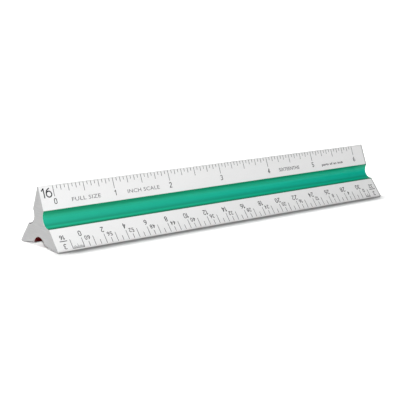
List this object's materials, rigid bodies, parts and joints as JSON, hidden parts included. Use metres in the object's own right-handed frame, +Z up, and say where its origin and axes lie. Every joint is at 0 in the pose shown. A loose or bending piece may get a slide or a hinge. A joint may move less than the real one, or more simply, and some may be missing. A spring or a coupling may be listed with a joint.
{
  "type": "triangular scale ruler",
  "caption": "Triangular architect's scale: an aluminium bar with concave colour-lined grooves between its arms and printed inch and foot scales along its edges.",
  "frame": {"origin": "middle of the bar's length and width, on the surface that it stands on", "axes": "+X along the bar towards the 6 of the inch scale, +Y away from the groove lined in green, +Z up to the edge that carries the inch scale"},
  "size_m": [0.165, 0.0248, 0.0217],
  "materials": {
    "bar": "fine satin, anodised in a natural silver that is close to white",
    "green_strip": "gloss, green",
    "red_strip": "gloss, dark red",
    "black_strip": "gloss, black",
    "line_ink": "matte dark grey ink",
    "figure_ink": "matte dark grey ink"
  },
  "bodies": {
    "root": {"aluminium_bar": "bar", "green_groove_strip": "green_strip", "red_groove_strip": "red_strip", "black_groove_strip": "black_strip", "lines_16": "line_ink", "lines_3_32_and_3_16": "line_ink", "lines_3_8_and_3_4": "line_ink", "lines_1_8_and_1_4": "line_ink", "lines_1_2_and_1": "line_ink", "lines_1_1_2_and_3": "line_ink", "figures_16": "figure_ink", "figures_3_32_and_3_16": "figure_ink", "figures_3_8_and_3_4": "figure_ink", "figures_1_8_and_1_4": "figure_ink", "figures_1_2_and_1": "figure_ink", "figures_1_1_2_and_3": "figure_ink"}
  },
  "joints": []
}
